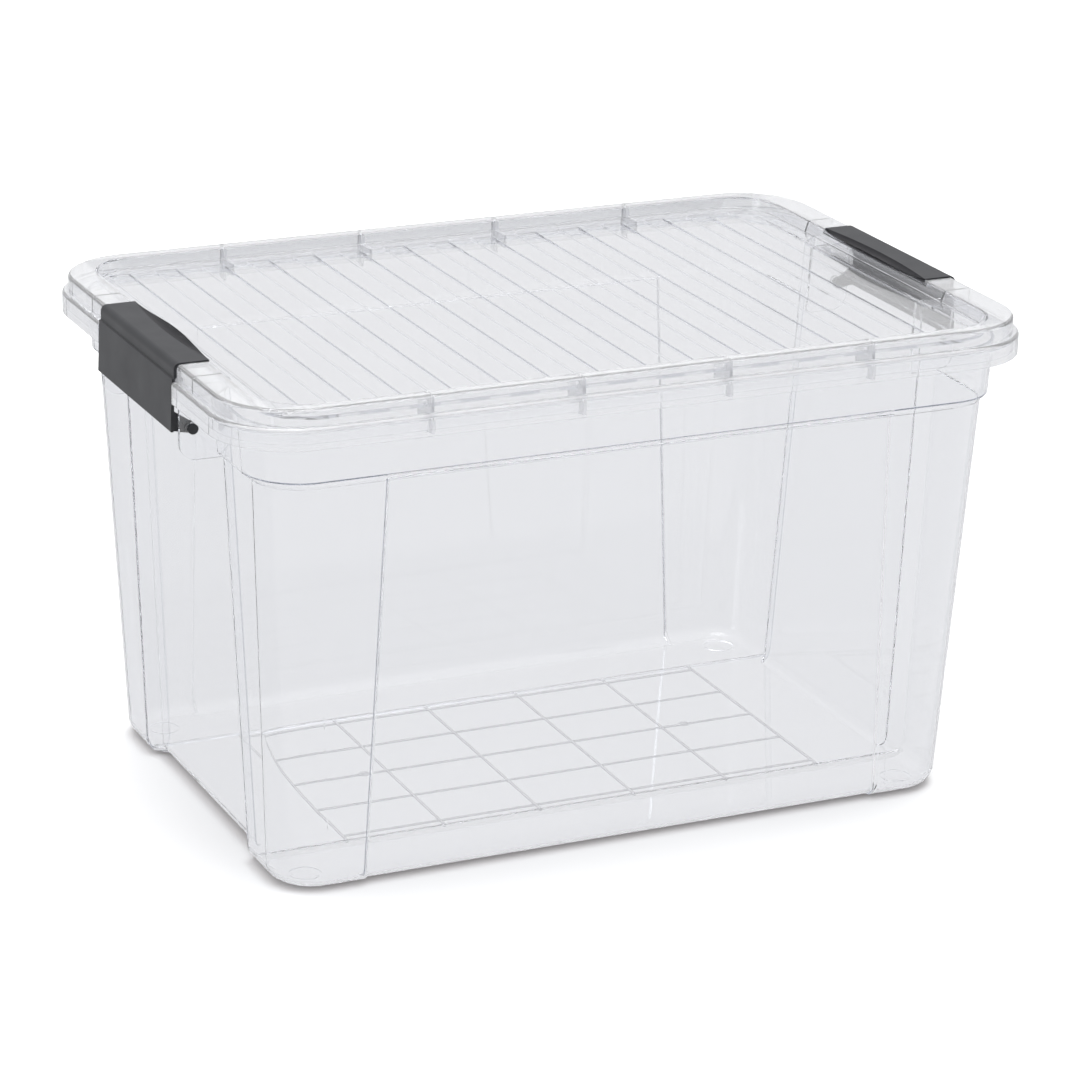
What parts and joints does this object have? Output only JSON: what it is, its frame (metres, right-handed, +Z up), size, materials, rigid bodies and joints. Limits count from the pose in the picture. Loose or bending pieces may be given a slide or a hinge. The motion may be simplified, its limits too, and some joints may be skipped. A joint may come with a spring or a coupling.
{
  "type": "stackable storage bin",
  "caption": "Clear plastic storage bin with tapered walls and corner columns, a ribbed clip-on lid with a sunk stacking seat, and a dark swing latch at each short end.",
  "frame": {"origin": "centre of the base, on the surface that the bin stands on", "axes": "+X along the long side, +Y along the short side, +Z up towards the lid; the latches are at -X and +X"},
  "size_m": [0.5964, 0.4, 0.3512],
  "materials": {
    "clear_tub": "clear polypropylene, slightly milky, satin gloss",
    "clear_lid": "clear polypropylene, slightly milky, satin gloss",
    "latch": "charcoal polypropylene with a fine satin texture"
  },
  "bodies": {
    "tub": {"box_body": "clear_tub"},
    "lid": {"lid": "clear_lid"},
    "latch_left": {"latch_left": "latch"},
    "latch_right": {"latch_right": "latch"}
  },
  "joints": [
    {"name": "lid_lift", "type": "slide", "parent": "tub", "child": "lid", "axis": [0, 0, 1], "range_m": [0, 0.25]},
    {"name": "latch_left_hinge", "type": "hinge", "parent": "tub", "child": "latch_left", "pos_m": [-0.2846, 0, 0.3066], "axis": [0, -1, 0], "range_deg": [0, 180]},
    {"name": "latch_right_hinge", "type": "hinge", "parent": "tub", "child": "latch_right", "pos_m": [0.2846, 0, 0.3066], "axis": [0, 1, 0], "range_deg": [0, 180]}
  ]
}
